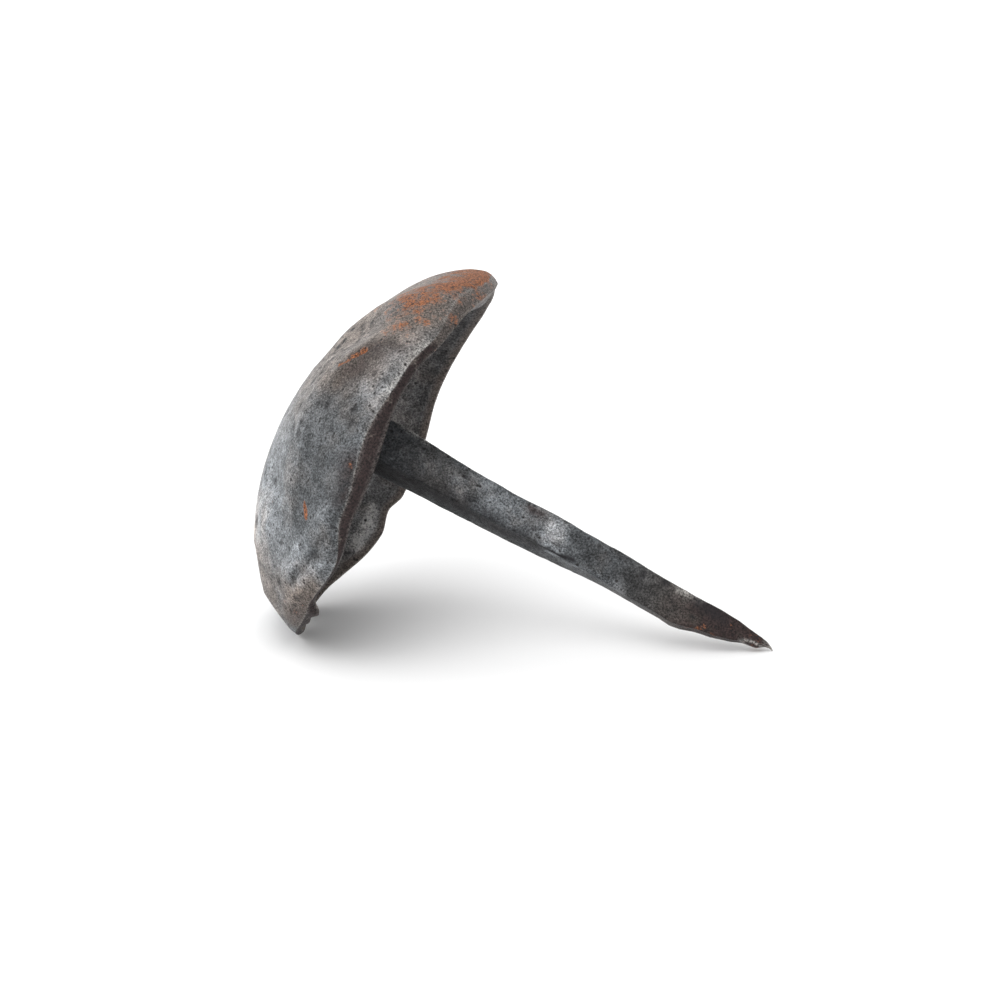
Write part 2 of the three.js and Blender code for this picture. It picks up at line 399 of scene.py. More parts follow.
# Folds left in the skin: the places that each one runs through, its height, and its width.
HEAD_FOLDS = [
    (((-50, 0.60), (-47, 0.65), (-43, 0.72)), -0.26, 0.32),
    (((-51, 0.68), (-46, 0.73), (-43, 0.80)), -0.22, 1.5),
    (((-48, 0.58), (-42, 0.68)), 0.14, 0.8),
    (((-53, 0.53), (-66, 0.54), (-75, 0.53), (-80, 0.56), (-84, 0.62)), 0.16, 0.8),
    (((-60, 0.70), (-54, 0.82), (-52, 0.92)), 0.12, 0.9),
    (((-93, 0.91), (-99, 0.83), (-105, 0.76), (-122, 0.75)), 0.20, 0.8),
    (((-100, 0.89), (-107, 0.84), (-124, 0.83)), -0.16, 0.6),
    (((-102, 0.92), (-116, 0.87), (-130, 0.87)), 0.16, 0.6),
]
HOLLOW_FOLDS = [
    (((-8, 1.0), (8, 1.0), (22, 1.0)), 2.0, 4.4),
    (((127, 0.92), (140, 0.93)), 0.35, 1.6),
]
# Most of the head's pits lie along this band, and a few off it.
PITTED_BAND = ((-20, 0.42), (-32, 0.43), (-43, 0.47), (-58, 0.45))
PITTED_WIDTH = 5.0
STRAY_PITS = 0.06  # how likely a pit is off the band, where it is 1 in its middle
CROWN_CALM = 2.0  # within this distance of the axis, pits and relief fade away

PIT_DEPTH = 0.3  # depth of a pit, as a share of its size
PIT_SQUASH = (0.6, 1.5)  # least and most that a pit is squashed along an axis
PIT_REACH = 3  # how many sizes from its middle a pit ends


def scatter_pits(grid, likely, count, sizes, seed):
    """Depth of small pits at random places of a grid, more of them where they are likely."""
    chance = np.random.default_rng(seed)
    points = grid.reshape(-1, 3)
    odds = likely.reshape(-1) / likely.sum()
    depth = np.zeros(len(points))
    for centre in chance.choice(len(points), count, p=odds):
        size = chance.uniform(*sizes)
        squash = chance.uniform(*PIT_SQUASH, 3)
        away = np.linalg.norm((points - points[centre]) * squash, axis=1) / size
        near = away < PIT_REACH
        depth[near] = np.maximum(depth[near], PIT_DEPTH * size * bell(away[near]))
    return depth.reshape(grid.shape[:-1])


def mesh_from_grid(name, grid, masks, caps):
    """A closed mesh from rows of rings, with one point at each capped end, and its masks."""
    rows, columns = grid.shape[:2]
    points = grid.reshape(-1, 3)
    faces = []
    last = rows if not caps else rows - 1
    for row in range(last):
        below = row * columns
        above = (row + 1) % rows * columns
        for column in range(columns):
            beside = (column + 1) % columns
            faces.append((below + column, below + beside, above + beside, above + column))
    values = {mask: value.reshape(-1) for mask, value in masks.items()}
    if caps:
        points = np.vstack([points, grid[0].mean(0), grid[-1].mean(0)])
        for mask, value in masks.items():
            values[mask] = np.append(values[mask], [value[0].mean(), value[-1].mean()])
        start, end = rows * columns, rows * columns + 1
        top = (rows - 1) * columns
        for column in range(columns):
            beside = (column + 1) % columns
            faces.append((start, beside, column))
            faces.append((end, top + column, top + beside))
    mesh = bpy.data.meshes.new(name)
    mesh.from_pydata(lay_down(points).tolist(), [], faces)
    for mask, value in values.items():
        layer = mesh.attributes.new(mask, "FLOAT", "POINT")
        layer.data.foreach_set("value", value.astype(np.float32))
    mesh.polygons.foreach_set("use_smooth", [True] * len(mesh.polygons))
    mesh.validate()
    mesh.update()
    piece = bpy.data.objects.new(name, mesh)
    bpy.context.scene.collection.objects.link(piece)
    return piece


def lay_down(points):
    """Turns and moves points of the nail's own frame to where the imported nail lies, in metres."""
    strike = next(m for m in frame["record"]["mounts"] if m["name"] == "strike_face")
    cosine, sine = -strike["axis"][0], strike["axis"][2]
    turn = np.array([[sine, 0, cosine], [0, 1, 0], [-cosine, 0, sine]])
    crown = np.array([0, 0, HEAD_HEIGHT - CROWN_FLAT])
    lean = CROWN_LEAN * crown[2] / HEAD_HEIGHT
    crown[:2] = lean * math.cos(LEAN_ANGLE), lean * math.sin(LEAN_ANGLE)
    return (points - crown) @ turn * METRE + np.array(strike["pos_m"])


def build_head(columns=500):
    """The hollow dome, with its lip, blows, folds and pits."""
    rows = head_profile()
    across, up, inset, lip = (np.array([row[k] for row in rows], float)[:, None] for k in range(4))
    side = np.array([row[5] for row in rows])[:, None]
    degrees = np.linspace(-180, 180, columns, endpoint=False)[None, :]
    angle = np.radians(degrees)
    shape = (len(rows), columns)
    plain = np.stack([across * np.cos(angle), across * np.sin(angle), up + 0 * angle], axis=-1)
    degrees = np.broadcast_to(degrees, shape)
    grid = hammer_head(plain, inset, lip, degrees)
    side = np.broadcast_to(side, shape)
    normals = -grid_normals(grid, closed_rows=False)
    lip = np.broadcast_to(lip, shape)
    relief = head_relief(plain, side, lip)
    pitted = stroke(plain, on_head(*PITTED_BAND), PITTED_WIDTH)
    likely = (side == "outside") * (STRAY_PITS + pitted)
    pits = scatter_pits(grid, likely, count=150, sizes=(0.2, 0.42), seed=51)
    fade = np.minimum(1, across / CROWN_CALM)
    grid = grid + ((relief - pits) * fade)[..., None] * normals
    masks = head_masks(plain, side, lip, pits)
    # The first and last rows have shrunk to the axis, so the caps take their place.
    masks = {name: value[1:-1] for name, value in masks.items()}
    return mesh_from_grid("domed_head", grid[1:-1], masks, caps=True)


def painted(points, marks, placed=on_head):
    """How strongly marks cover each point, from the places, width and strength of each mark."""
    total = np.zeros(points.shape[:-1])
    for line, width, strength in marks:
        total = np.maximum(total, strength * stroke(points, placed(*line), width))
    return total


def pit_shade(pits, full_depth):
    """How dark the pits are, from their depth and the depth at which they are fully dark."""
    return np.clip(pits / full_depth, 0, PIT_DARKNESS)


def head_masks(plain, side, lip, pits):
    """How light, warm, rusty, stained and dark each point of the head is, with wear and painted
    highlights among the light and painted shade in the dark.
    """
    ragged = warp(plain, amount=1.0, size=3.0, seed=61)
    fine = warp(plain, amount=0.35, size=2.0, seed=65)
    across = np.hypot(plain[..., 0], plain[..., 1])
    outer_edge = np.hypot(across - HEAD_RADIUS, plain[..., 2])
    inner_edge = np.hypot(across - HEAD_RADIUS + LIP_WIDTH - LIP_ROUND, plain[..., 2] + LIP_DEPTH)
    arris = np.maximum(bell(outer_edge / OUTER_ARRIS), bell(inner_edge / INNER_ARRIS))
    highlight_in_hollow = painted(fine, HOLLOW_HIGHLIGHT, in_hollow)
    # Painted shade in the hollow: deeper toward the top, which faces down, and thinner at the lip
    # and under the hollow's painted highlight.
    shade_in_hollow = (HOLLOW_SHADE + SHADE_SLOPE * plain[..., 0]) * (1 - UNSHADED_LIP * lip)
    shade_in_hollow = shade_in_hollow * (1 - np.minimum(1, highlight_in_hollow))
    stain_by_lip = np.clip(2 * lip, 0, 0.5)
    hollow_stain = np.maximum(stain_by_lip, painted(ragged, HOLLOW_STAIN, in_hollow))
    rust = np.maximum(painted(ragged, RUST_MARKS), painted(fine, RUST_SPOTS))

    def by_side(on_outside, on_inside, on_lip):
        under = np.where(side == "inside", on_inside, on_lip)
        return np.where(side == "outside", on_outside, under)

    tone = by_side(toned(fine, HEAD_LIGHT_AND_TONES, on_head), toned(fine, HOLLOW_LIGHT, in_hollow), 1.0)
    stained_lip = LIP_BROWN + painted(ragged, LIP_STAIN)
    pale = by_side(painted(fine, PALE_MARKS), highlight_in_hollow, 0.0)
    dark = by_side(painted(fine, PIT_SPOTS), shade_in_hollow, LIP_SHADE)
    return {
        "tone": tone,
        "warm": by_side(painted(ragged, WARM_MARKS), HOLLOW_WARMTH + lip, LIP_WARMTH),
        "rust": by_side(rust, 0.0, painted(ragged, LIP_RUST)),
        "stain": by_side(painted(ragged, STAIN_MARKS), hollow_stain, stained_lip),
        "pale": np.maximum(pale, ARRIS_WEAR * arris),
        "dark": np.maximum(pit_shade(pits, full_depth=0.06), dark),
    }


PIT_DARKNESS = 0.8  # how dark the deepest pits are
OUTER_ARRIS = 0.22  # width of the worn line along the rim's outer edge
INNER_ARRIS = 0.2  # and along the lip's inner edge
ARRIS_WEAR = 0.3  # how bare these lines are
HOLLOW_SHADE = 0.38  # how dark the painted shade in the middle of the hollow is
SHADE_SLOPE = 0.008  # how much deeper that painted shade gets with each millimetre toward the top, which faces down
UNSHADED_LIP = 0.7  # share of that painted shade that is missing at the lip
LIP_SHADE = 0.25
HOLLOW_WARMTH = 0.3
LIP_WARMTH = 0.9
LIP_BROWN = 0.35  # stain all along the lip

# Lighter and darker fields on the head, many of them painted light and shade: the places that each
# one runs through, how far it reaches to both sides, the width of its edge, and the change.
HEAD_LIGHT_AND_TONES = [
    # Painted shade on the band of flats toward -Y, and painted light on the crown and on the -X
    # side, which face the light.
    (((-52, 0.78), (-66, 0.77), (-84, 0.79), (-97, 0.80)), 5.1, 0.35, -0.55),
    (((-95, 0.2), (-115, 0.38), (-150, 0.4)), 6.0, 4.0, 0.35),
    (((-130, 0.45), (-170, 0.45)), 4.0, 3.5, 0.45),
    (((-59, 0.90), (-52, 0.86), (-47, 0.92)), 1.8, 1.5, 0.5),
    (((-57, 0.80), (-52, 0.83), (-44, 0.86), (-38, 0.87)), 1.3, 1.0, 0.35),
    (((-56, 0.97), (-72, 0.97)), 0.8, 0.8, 0.35),
    # Painted highlights along two fold ridges, and painted shade in the groove between them.
    (((-93, 0.91), (-99, 0.83), (-105, 0.76), (-122, 0.75)), 1.0, 0.5, 0.45),
    (((-107, 0.84), (-116, 0.82), (-124, 0.83)), 0.45, 0.5, -0.55),
    (((-102, 0.92), (-116, 0.87), (-130, 0.87)), 0.6, 0.5, 0.4),
    (((-121, 0.66), (-128, 0.66)), 1.2, 0.9, 0.2),
    (((-82, 0.96), (-92, 0.97)), 1.0, 1.0, -0.4),
    (((-20, 0.80), (10, 0.88)), 6.0, 4.0, -0.2),
]
# Painted light in the hollow: a painted highlight on a small flat near the far rim, and a broader
# lighter field round it where the wall faces the light.
HOLLOW_LIGHT = [
    (((127, 0.94), (140, 0.95)), 1.0, 0.6, 0.8),
    (((100, 0.7), (170, 0.8)), 5.0, 4.0, 0.35),
]
# Marks on the head: the places that each one runs through, its width, and how strong it is.
WARM_MARKS = [
    (((-30, 0.45), (0, 0.6), (20, 0.7)), 9.0, 1.0),
    (((-45, 0.68), (-25, 0.85), (5, 0.9)), 6.0, 1.0),
    (((-140, 0.6), (-130, 0.8), (-122, 0.96)), 3.5, 0.4),
    (((-122, 0.94), (-138, 0.96)), 2.5, 1.0),
    (((-180, 0.2), (-150, 0.5), (-140, 0.75)), 4.0, 0.8),
]
RUST_MARKS = [
    (((-12, 0.88), (4, 0.92), (16, 0.96)), 3.6, 0.66),
    (((-22, 0.76), (-2, 0.80), (14, 0.82)), 5.5, 0.46),
    (((-33, 0.80), (-24, 0.88)), 3.0, 0.40),
    (((-124, 0.95), (-136, 0.97)), 2.0, 0.2),
]
RUST_SPOTS = [
    (((-50, 0.60), (-47, 0.65), (-45, 0.69)), 0.5, 0.6),
    (((-97, 0.72), (-100, 0.72)), 0.42, 0.9),
    (((-112, 0.47), (-113, 0.48)), 0.3, 0.7),
    (((-104, 0.54), (-105, 0.55)), 0.25, 0.6),
    (((-79, 0.95), (-80, 0.97)), 0.8, 0.25),
]
STAIN_MARKS = [
    # Partly brown stain, partly painted shade in the hollow below the crease.
    (((-50, 0.70), (-45, 0.76), (-43, 0.82)), 2.4, 0.75),
    (((-79, 0.94), (-86, 0.97)), 1.6, 0.8),
    (((-124, 0.97), (-138, 0.97)), 1.8, 0.75),
]
PALE_MARKS = [
    (((-57, 0.98), (-50, 0.98), (-39, 0.98)), 0.6, 0.75),
    (((-43, 0.79), (-44, 0.80)), 0.5, 0.4),
]
# Dark spots where pits lie: painted shade in the pits.
PIT_SPOTS = [
    (((-22, 0.45), (-23, 0.46)), 0.4, 1.6),
    (((-32, 0.41), (-33, 0.42)), 0.4, 1.6),
    (((-29, 0.44), (-30, 0.44)), 0.3, 1.6),
    (((-31, 0.53), (-31, 0.54)), 0.35, 1.3),
    (((-26, 0.57), (-27, 0.57)), 0.4, 1.3),
    (((-37, 0.47), (-38, 0.47)), 0.35, 1.3),
]
LIP_RUST = [
    (((-25, 1.0), (0, 1.0), (18, 1.0)), 5.0, 0.3),
]
LIP_STAIN = [
    (((-140, 1.0), (-125, 1.0), (-108, 1.0), (-90, 1.0), (-70, 1.0), (-56, 1.0)), 7.0, 2.2),
]
HOLLOW_STAIN = [
    (((-8, 1.0), (22, 1.0)), 4.0, 0.5),
]
# The same painted highlight, in the pale metal colour; it also clears the hollow's painted shade.
HOLLOW_HIGHLIGHT = [
    (((127, 0.94), (133, 0.93), (140, 0.95)), 0.9, 0.7),
]


# ---------------------------------------------------------------- shank

def stations_at(stations, place):
    """The values of a list of stations at each place."""
    table = np.array(stations, float)
    return [np.interp(place, table[:, 0], table[:, column]) for column in range(1, table.shape[1])]


def section_ring(count):
    """Points round a square of half side 1 with rounded corners, closer together at the corners."""
    fine_steps = 20000
    fine = np.linspace(0, 2 * math.pi, fine_steps + 1)
    power = np.abs(np.cos(fine)) ** SQUARENESS + np.abs(np.sin(fine)) ** SQUARENESS
    reach = power ** (-1 / SQUARENESS)
    curve = np.stack([reach * np.cos(fine), reach * np.sin(fine)], -1)
    corner_reach, corner_width, crowding = 1.2, 0.14, 3
    closeness = 1 + crowding * np.clip(reach[1:] - corner_reach, 0, 1) / corner_width
    step = np.linalg.norm(np.diff(curve, axis=0), axis=1) * closeness
    length = np.append(0, np.cumsum(step))
    even = np.linspace(0, length[-1], count, endpoint=False)
    return np.stack([np.interp(even, length, curve[:, axis]) for axis in (0, 1)], -1)


def shank_levels(point_rings=120, body_rings=210):
    """Heights of the shank's rings, from the tip to the root."""
    root = HEAD_HEIGHT - PLATE - CROWN_FLAT - GAP
    point = np.linspace(0, POINT_LENGTH, point_rings, endpoint=False) - SHANK_REACH
    body = np.linspace(POINT_LENGTH - SHANK_REACH, root, body_rings)
    return np.concatenate([point, body])


def rotated(points, degrees):
    """Points of each ring, turned about the axis."""
    cosine = np.cos(np.radians(degrees))
    sine = np.sin(np.radians(degrees))
    x = points[..., 0] * cosine - points[..., 1] * sine
    y = points[..., 0] * sine + points[..., 1] * cosine
    return np.stack([x, y], -1)


def build_shank(columns=88):
    """The square bar, turned and bowed, thinned to its point."""
    levels = shank_levels()
    size, turn, bow = stations_at(SHANK, -levels)
    thickness, width, lift = stations_at(POINT, levels + SHANK_REACH)
    ring = section_ring(columns)
    section = BAR_HALF * size[:, None, None] * ring[None]
    section = rotated(section, (ROOT_TURN + turn - THIN_ANGLE)[:, None])
    section = section * np.stack([thickness, width], -1)[:, None]
    section[..., 0] += lift[:, None]
    section = rotated(section, THIN_ANGLE)
    section[..., 0] += bow[:, None]
    height = np.broadcast_to(levels[:, None, None], (*section.shape[:2], 1))
    grid = np.concatenate([section, height], axis=-1)
    normals = -grid_normals(grid, closed_rows=False)
    pits = scatter_pits(grid, np.ones(grid.shape[:2]), count=70, sizes=(0.15, 0.35), seed=91)
    fade = np.clip((levels + SHANK_REACH) / TIP_CALM, TIP_RELIEF, 1)[:, None]
    grid = grid + ((rough(grid, SHANK_SKIN) - pits) * fade)[..., None] * normals
    masks = shank_masks(grid, pits)
    return mesh_from_grid("forged_shank", grid, masks, caps=True)


def on_shank(*places):
    """Places on the shank's skin, each given as its angle in degrees and depth below the rim."""
    spots = []
    for degrees, depth in places:
        size, turn, bow = stations_at(SHANK, depth)
        angle = math.radians(degrees)
        from_flat = angle - math.radians(ROOT_TURN + turn)
        reach = BAR_HALF * size / max(abs(math.cos(from_flat)), abs(math.sin(from_flat)))
        spots.append((reach * math.cos(angle) + bow, reach * math.sin(angle), -depth))
    return np.array(spots)


def near_tip(from_tip, start, length, most=1.0):
    """0 up to where the change starts, growing by 1 with each length toward the tip."""
    return np.clip((start - from_tip) / length, 0, most)


def shank_masks(grid, pits):
    """How light, warm, rusty, stained and dark each point of the shank is, with wear and painted
    highlights among the light and painted shade in the dark.
    """
    ragged = warp(grid, amount=0.7, size=2.0, seed=101)
    fine = warp(grid, amount=0.15, size=1.0, seed=103)
    soft = warp(grid, amount=0.3, size=1.5, seed=105)
    from_tip = grid[..., 2] + SHANK_REACH
    blotches = np.exp(rough(grid, SHANK_BLOTCHES))
    # Painted shade from the hollow reaches a little way down the root.
    root_shade = np.clip((ROOT_SHADE_END + grid[..., 2]) / ROOT_SHADE_LENGTH, 0, ROOT_SHADE)
    shade = np.maximum(painted(ragged, SHANK_SHADE, on_shank), root_shade)
    shade = np.maximum(shade, painted(fine, SHANK_DARK, on_shank))
    # The torn end has a pale ring on the side toward -Y, round the mouth of the tear.
    along_tear = (from_tip - TEAR_DEPTH) / TEAR_LENGTH
    from_tear = np.hypot(along_tear, (grid[..., 0] - TEAR_LIFT) / TEAR_WIDTH)
    torn_ring = bell((from_tear - 1) / TEAR_LINE) * (grid[..., 1] < TEAR_SIDE)
    bare_tip = np.maximum(TIP_BARE * near_tip(from_tip, *TIP_WEAR), TEAR_BARE * torn_ring)
    tip_rust = TIP_RUSTY * near_tip(from_tip, *TIP_RUST)
    tip_stain = near_tip(from_tip, *TIP_STAIN) * np.clip(from_tip / STAINLESS_TIP, 0, 1)
    return {
        "tone": blotches * toned(soft, SHANK_TONES, on_shank),
        "warm": near_tip(from_tip, *TIP_WARMTH),
        "rust": np.maximum(painted(ragged, SHANK_RUST, on_shank), tip_rust),
        "stain": np.maximum(tip_stain, painted(fine, SHANK_STAIN, on_shank)),
        "pale": np.maximum(painted(fine, SHANK_PALE, on_shank), bare_tip),
        "dark": np.maximum(pit_shade(pits, full_depth=0.05), shade),
    }


# Height, size, seed and layers of the noises that roughen the shank, and that blotch its scale.
SHANK_SKIN = [(0.04, 4.0, 71, 2), (0.026, 1.1, 81, 3)]
SHANK_BLOTCHES = [(0.28, 1.8, 111, 3)]
TIP_CALM = 5.0  # over this much of the tip, pits and relief fade
TIP_RELIEF = 0.05  # to this share
ROOT_SHADE_END = 3.0  # how far below the rim the root's painted shade ends
ROOT_SHADE_LENGTH = 9.0  # and the length over which it would grow fully dark
ROOT_SHADE = 0.5  # how dark it is allowed to get
# Changes toward the tip: how far from it each one starts, the length over which it grows by 1,
# and the most that it grows to, where that isn't 1.
TIP_WARMTH = (22, 12)
TIP_RUST = (9, 9)
TIP_STAIN = (15, 5, 1.6)
TIP_WEAR = (1.82, 1.4)
STAINLESS_TIP = 2.0  # the stain thins out over the last of the tip
# How strongly the tip is rusty, worn bare, and bare round its tear.
TIP_RUSTY = 0.3
TIP_BARE = 0.7
TEAR_BARE = 0.8
# Marks on the shank, listed as on the head, at angles and depths below the rim.
# Partly the scale's own tone, partly painted highlights where hammered flats on the front face
# catch the light.
SHANK_TONES = [
    (((-45, -12), (-45, 2.5)), 4.0, 1.5, 0.1),
    (((-45, 5), (-50, 9)), 1.5, 0.8, 0.3),
    (((-45, 12), (-45, 19)), 2.6, 1.6, 0.4),
    (((-8, 4), (-20, 5.6)), 1.2, 0.8, -0.45),
    (((-60, 7), (-76, 9)), 1.3, 0.9, 0.35),
    (((-50, 13.5), (-50, 17)), 1.4, 0.9, 0.4),
    (((-10, 22.1), (-92, 22.2)), 1.8, 0.25, 0.5),
    (((-56, 22.1), (-86, 22.4)), 1.5, 0.45, 0.5),
    (((-15, 24.9), (-50, 25.1)), 0.6, 0.3, -0.3),
    (((-50, 29.5), (-50, 50)), 4.0, 1.5, -0.4),
    (((-30, 42.5), (-60, 46)), 1.6, 1.0, -0.5),
    (((-115, 23), (-112, 33)), 0.7, 0.4, 0.6),
    (((-78, 33), (-78, 39)), 1.2, 0.8, -0.35),
]
# The first is a painted highlight along the bar's upper corner at the root; the second a pale strip
# near the point.
SHANK_PALE = [
    (((-5, -1.2), (-5, 2.4)), 0.45, 0.9),
    (((-20, 38.8), (-20, 41.5)), 0.6, 0.8),
]
SHANK_STAIN = [
    (((-18, 17.6), (-22, 19.4)), 0.6, 0.9),
]
SHANK_RUST = [
    (((-100, 43), (-125, 45.5)), 1.3, 0.36),
]
SHANK_SHADE = [
    (((-118, -10), (-118, 20)), 1.9, 1.0),
]
# Painted shade along the crease of the lower face and under the root, painted shade in three pits,
# and a dark patch near the point.
SHANK_DARK = [
    (((-108, 20), (-102, 22.4), (-99, 25.5)), 0.42, 1.2),
    (((-115, -6), (-115, 4)), 1.6, 1.1),
    (((-150, -6), (-150, 4)), 1.6, 1.1),
    (((-25, 8.7), (-27, 9.0)), 0.4, 1.0),
    (((-76, 16.1), (-78, 16.4)), 0.35, 1.0),
    (((-94, 10.8), (-92, 11.1)), 0.4, 1.0),
    (((-26, 41.6), (-32, 45)), 1.1, 0.95),
]
# The tear at the tip: how far up it lies, its lift, and half its length and width.
TEAR_DEPTH = 2.4
TEAR_LIFT = 0.35
TEAR_LENGTH = 1.5
TEAR_WIDTH = 0.55
TEAR_LINE = 0.26  # width of the ring's line, as a share of the tear
TEAR_SIDE = 0.3  # the ring stays on the side below this y


# ---------------------------------------------------------------- weld

def build_weld(columns=160, steps=8):
    """A lumpy fillet round the root, with a square hole that clears the shank."""
    hole = BAR_HALF * ROOT_SIZE + GAP

    def roof(across):
        """Height of the hollow's roof above the weld, less the gap."""
        inner = arch_height(HEAD_RADIUS - PLATE, HEAD_HEIGHT - PLATE, across + CROWN_LEAN)
        return inner - CROWN_FLAT - GAP

    corners = np.array([
        (0, roof(hole)),
        (0, roof(hole) - WELD_HEIGHT),
        (0.35, roof(hole) - WELD_HEIGHT - 0.1),
        (0.45 * WELD_WIDTH, roof(hole) - 0.62 * WELD_HEIGHT),
        (0.95 * WELD_WIDTH, roof(hole + WELD_WIDTH) - 0.25),
        (0.9 * WELD_WIDTH, roof(hole + WELD_WIDTH)),
    ])
    rows = []
    for start, end in zip(corners, np.roll(corners, -1, axis=0)):
        for share in np.linspace(0, 1, steps, endpoint=False):
            rows.append((1 - share) * start + share * end)
    out, level = np.array(rows).T[..., None]
    angle = np.linspace(-math.pi, math.pi, columns, endpoint=False)[None, :]
    turned = angle - math.radians(ROOT_TURN)
    square = hole / np.maximum(np.abs(np.cos(turned)), np.abs(np.sin(turned)))
    corner_cut = 0.97  # the hole's corners are cut short to this share
    edge = np.minimum(square, hole * math.sqrt(2) * corner_cut)
    lumps = 0.14 * np.sin(11 * angle) + 0.05 * np.sin(29 * angle + 2 * level)
    ripple = np.clip(out - 0.3, 0, 1) * lumps
    across = edge + out + ripple
    grid = np.stack(
        [across * np.cos(angle) + ROOT_BOW, across * np.sin(angle), level + 0 * angle], axis=-1
    )
    normals = -grid_normals(grid, closed_rows=True)
    relief = rough(grid, WELD_SKIN) * np.clip(out, 0, 1)
    grid = grid + relief[..., None] * normals
    masks = {name: np.full(grid.shape[:2], level) for name, level in WELD_LOOK.items()}
    return mesh_from_grid("weld_fillet", grid, masks, caps=False)


# Height, size, seed and layers of the noise that roughens the weld, and its even masks.
WELD_SKIN = [(0.06, 1.4, 121, 3)]
WELD_LOOK = {"tone": 0.8, "warm": 0.6, "rust": 0.25, "stain": 0.4, "pale": 0.0, "dark": 0.7}


# ---------------------------------------------------------------- materials

# Colours of the iron: the greys of its scale at three stops of the mottle, the tints that make
# them cool or warm, and the colours that lie on the scale.
SCALE_STOPS = (0.40, 0.50, 0.60)
SCALE_GREYS = (0.05, 0.19, 0.42)
COOL_TINT = (0.94, 1.0, 1.06)
WARM_TINT = (1.16, 0.98, 0.86)
BROWN_DARK, BROWN_LIGHT = (0.010, 0.007, 0.007), (0.058, 0.038, 0.036)
RUST_DARK, RUST_LIGHT = (0.035, 0.013, 0.007), (0.36, 0.12, 0.038)
# Pale metal, for wear and for painted highlights.
WORN_METAL_AND_HIGHLIGHT = (0.60, 0.58, 0.55)
# Near-black, mostly for painted shade: in the hollow, on the lip, in pits and on the shank's lower
# side.
DARK_AND_SHADE = (0.014, 0.013, 0.015)
SPECK = (0.015, 0.013, 0.013)


class Nodes:
    """Short calls for building one material's node tree."""

    def __init__(self, name):
        self.material = bpy.data.materials.new(name)
        self.material.use_nodes = True
        self.tree = self.material.node_tree
        self.shader = self.tree.nodes["Principled BSDF"]
        self.place = self.tree.nodes.new("ShaderNodeTexCoord").outputs["Object"]

    def link(self, value, socket):
        if isinstance(value, bpy.types.NodeSocket):
            self.tree.links.new(value, socket)
        else:
            socket.default_value = value

    def noise(self, per_mm, detail, roughness):
        node = self.tree.nodes.new("ShaderNodeTexNoise")
        self.link(self.place, node.inputs["Vector"])
        node.inputs["Scale"].default_value = per_mm / METRE
        node.inputs["Detail"].default_value = detail
        node.inputs["Roughness"].default_value = roughness
        return node.outputs["Fac"]

    def cells(self, per_mm):
        node = self.tree.nodes.new("ShaderNodeTexVoronoi")
        self.link(self.place, node.inputs["Vector"])
        node.inputs["Scale"].default_value = per_mm / METRE
        return node.outputs["Distance"]

    def math(self, operation, first, second=0.0, clamp=False):
        node = self.tree.nodes.new("ShaderNodeMath")
        node.operation = operation
        node.use_clamp = clamp
        self.link(first, node.inputs[0])
        self.link(second, node.inputs[1])
        return node.outputs[0]

    def ranged(self, value, low, high, new_low=0.0, new_high=1.0):
        """The value's run from low to high, stretched over the new range."""
        node = self.tree.nodes.new("ShaderNodeMapRange")
        self.link(value, node.inputs["Value"])
        node.inputs["From Min"].default_value = low
        node.inputs["From Max"].default_value = high
        node.inputs["To Min"].default_value = new_low
        node.inputs["To Max"].default_value = new_high
        return node.outputs["Result"]

    def mask(self, name):
        node = self.tree.nodes.new("ShaderNodeAttribute")
        node.attribute_name = name
        return node.outputs["Fac"]

    def ramp(self, value, *stops):
        node = self.tree.nodes.new("ShaderNodeValToRGB")
        self.link(value, node.inputs["Fac"])
        elements = node.color_ramp.elements
        while len(elements) < len(stops):
            elements.new(0.5)
        for element, (position, colour) in zip(elements, stops):
            element.position = position
            element.color = (*colour, 1)
        return node.outputs["Color"]

    def mix(self, share, first, second):
        node = self.tree.nodes.new("ShaderNodeMix")
        node.data_type = "RGBA"
        self.link(share, node.inputs["Factor"])
        for name, colour in (("A", first), ("B", second)):
            linked = isinstance(colour, bpy.types.NodeSocket)
            self.link(colour if linked else (*colour, 1), node.inputs[name])
        return node.outputs["Result"]

    def scaled(self, colour, amount):
        node = self.tree.nodes.new("ShaderNodeVectorMath")
        node.operation = "SCALE"
        self.link(colour, node.inputs[0])
        self.link(amount, node.inputs["Scale"])
        return node.outputs[0]

    def bump(self, height, distance_mm):
        node = self.tree.nodes.new("ShaderNodeBump")
        node.inputs["Strength"].default_value = 1.0
        node.inputs["Distance"].default_value = distance_mm * METRE
        self.link(height, node.inputs["Height"])
        return node.outputs["Normal"]


